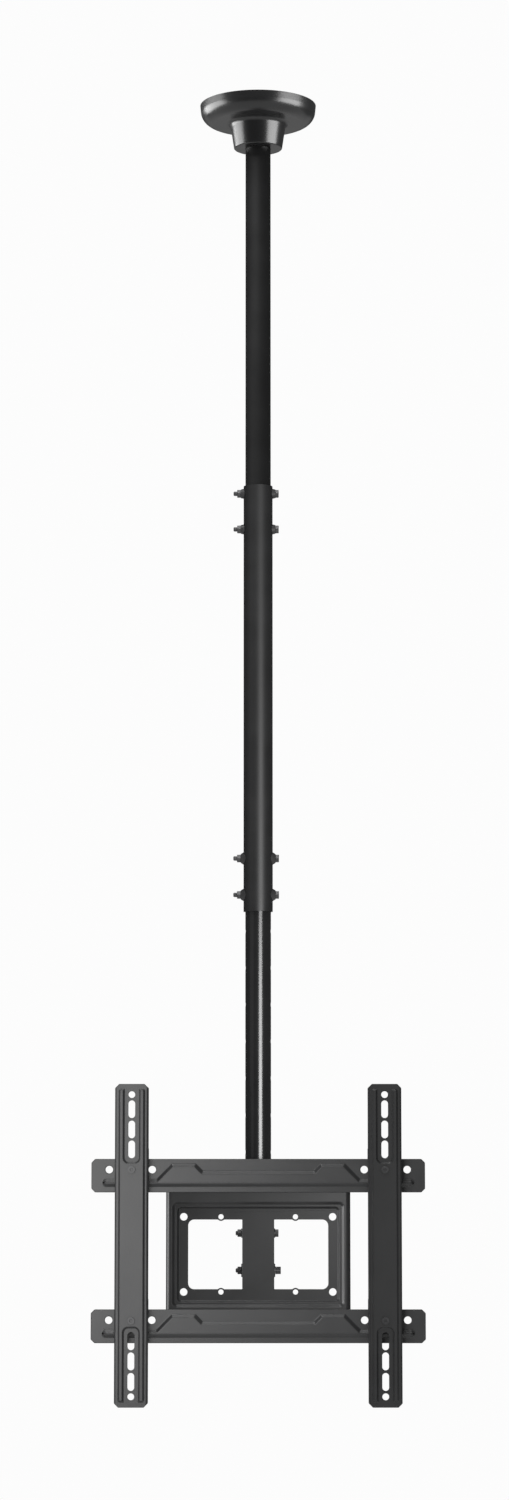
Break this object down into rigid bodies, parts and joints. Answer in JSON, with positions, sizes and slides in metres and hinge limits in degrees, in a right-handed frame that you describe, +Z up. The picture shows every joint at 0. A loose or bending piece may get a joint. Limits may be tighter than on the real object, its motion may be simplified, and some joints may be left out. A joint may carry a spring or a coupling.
{
  "type": "tv ceiling mount",
  "caption": "Ceiling mount for a flat screen: round canopy, telescopic pole of steel tubes and a tilting pressed-steel head with horizontal rails and sliding slotted arms.",
  "frame": {"origin": "middle of the ceiling plate's upper face, which lies against the ceiling, on the pole's axis", "axes": "+Z up along the pole, +X to the right seen from the screen side, the screen side faces -Y"},
  "size_m": [0.448, 0.162, 1.7968],
  "materials": {
    "black_powder_coat": "satin black powder coat",
    "gloss_black_paint": "gloss black paint",
    "cover_moulding": "gloss black moulding",
    "black_fastener": "black plated steel",
    "black_saddle": "matt black moulding",
    "white_nylon": "natural nylon"
  },
  "bodies": {
    "ceiling_end": {"ceiling_plate": "black_powder_coat", "swivel_socket": "black_powder_coat", "socket_screws": "black_fastener", "set_screws": "black_fastener", "slip_washer": "white_nylon"},
    "pole": {"upper_tube": "black_powder_coat", "tube_collar": "black_powder_coat", "middle_tube": "black_powder_coat", "upper_joint_bolts": "black_fastener", "upper_joint_nuts": "black_fastener", "upper_joint_saddles": "black_saddle", "lower_joint_bolts": "black_fastener", "lower_joint_nuts": "black_fastener", "lower_joint_saddles": "black_saddle"},
    "cover": {"canopy_cover": "cover_moulding"},
    "drop_tube": {"lower_tube": "gloss_black_paint", "pivot_bolt": "black_fastener", "pivot_nut": "black_fastener", "pivot_washers": "black_fastener", "clamp_bolt": "black_fastener", "clamp_nut": "black_fastener", "clamp_washers": "black_fastener", "clamp_lock_washer": "black_fastener"},
    "head": {"tray": "black_powder_coat", "upper_rail": "black_powder_coat", "lower_rail": "black_powder_coat"},
    "left_bracket": {"left_arm": "black_powder_coat", "left_arm_screws": "black_fastener"},
    "right_bracket": {"right_arm": "black_powder_coat", "right_arm_screws": "black_fastener"}
  },
  "joints": [
    {"name": "pole_swivel", "type": "hinge", "parent": "ceiling_end", "child": "pole", "pos_m": [0, 0, -0.05], "axis": [0, 0, 1], "continuous": true},
    {"name": "cover_slide", "type": "slide", "parent": "pole", "child": "cover", "axis": [0, 0, -1], "range_m": [0, 0.479]},
    {"name": "height_slide", "type": "slide", "parent": "pole", "child": "drop_tube", "axis": [0, 0, 1], "range_m": [0, 0.3]},
    {"name": "head_tilt", "type": "hinge", "parent": "drop_tube", "child": "head", "pos_m": [0, 0, -1.568], "axis": [1, 0, 0], "range_deg": [-5, 15]},
    {"name": "left_arm_slide", "type": "slide", "parent": "head", "child": "left_bracket", "axis": [-1, 0, 0], "range_m": [-0.0195, 0.0305]},
    {"name": "right_arm_slide", "type": "slide", "parent": "head", "child": "right_bracket", "axis": [1, 0, 0], "range_m": [-0.0195, 0.0305]}
  ]
}
